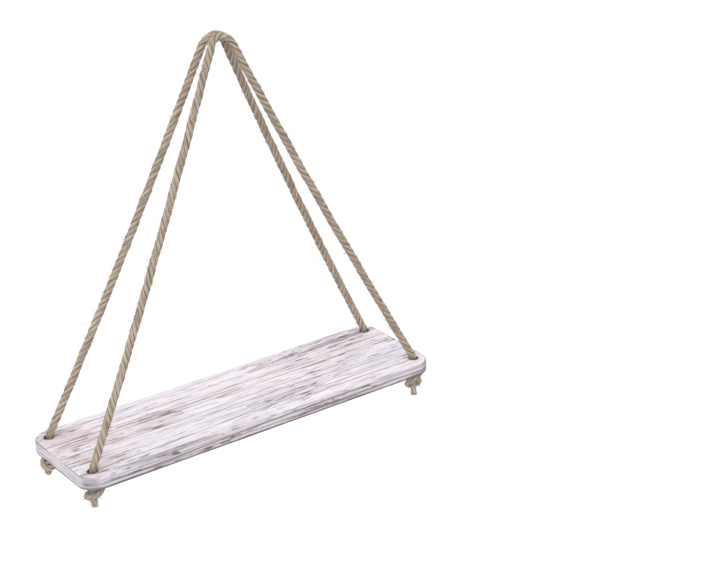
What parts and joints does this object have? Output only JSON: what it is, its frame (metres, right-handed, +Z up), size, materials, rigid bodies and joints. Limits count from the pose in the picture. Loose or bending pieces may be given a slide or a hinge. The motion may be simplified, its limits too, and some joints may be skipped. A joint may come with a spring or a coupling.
{
  "type": "hanging rope shelf",
  "caption": "Small whitewashed wooden board hung from one hook by ropes that pass through its corners and are knotted under it.",
  "frame": {"origin": "middle of the hook that the two rope bights hang on, 13.75 mm under the middle line of the ropes", "axes": "+X to the right along the board, +Y to the back towards the wall, +Z up"},
  "size_m": [0.438, 0.125, 0.4502],
  "materials": {
    "whitewashed_wood": "pale whitewash brushed thinly over grey-brown wood, so that the long grain shows through, worn darker along the eased edges",
    "jute_rope": "hairy laid jute rope, grey-beige, darker between the strands"
  },
  "bodies": {
    "hook_end": {"front_rope_bight": "jute_rope", "back_rope_bight": "jute_rope"},
    "swing_necks": {"front_left_swing_neck": "jute_rope", "front_right_swing_neck": "jute_rope", "back_left_swing_neck": "jute_rope", "back_right_swing_neck": "jute_rope"},
    "sway_necks": {"front_left_sway_neck": "jute_rope", "front_right_sway_neck": "jute_rope", "back_left_sway_neck": "jute_rope", "back_right_sway_neck": "jute_rope"},
    "shelf": {"board": "whitewashed_wood", "front_left_leg": "jute_rope", "front_right_leg": "jute_rope", "back_left_leg": "jute_rope", "back_right_leg": "jute_rope", "front_left_knot": "jute_rope", "front_right_knot": "jute_rope", "back_left_knot": "jute_rope", "back_right_knot": "jute_rope"}
  },
  "joints": [
    {"name": "swing_fore_and_aft", "type": "hinge", "parent": "hook_end", "child": "swing_necks", "pos_m": [0, 0, 0], "axis": [1, 0, 0], "range_deg": [-30, 30]},
    {"name": "sway_side_to_side", "type": "hinge", "parent": "swing_necks", "child": "sway_necks", "pos_m": [0, 0, 0], "axis": [0, 1, 0], "range_deg": [-25, 25]},
    {"name": "twist_about_hook", "type": "hinge", "parent": "sway_necks", "child": "shelf", "pos_m": [0, 0, 0], "axis": [0, 0, 1], "range_deg": [-45, 45], "stiffness_Nm_per_rad": 0.02}
  ]
}
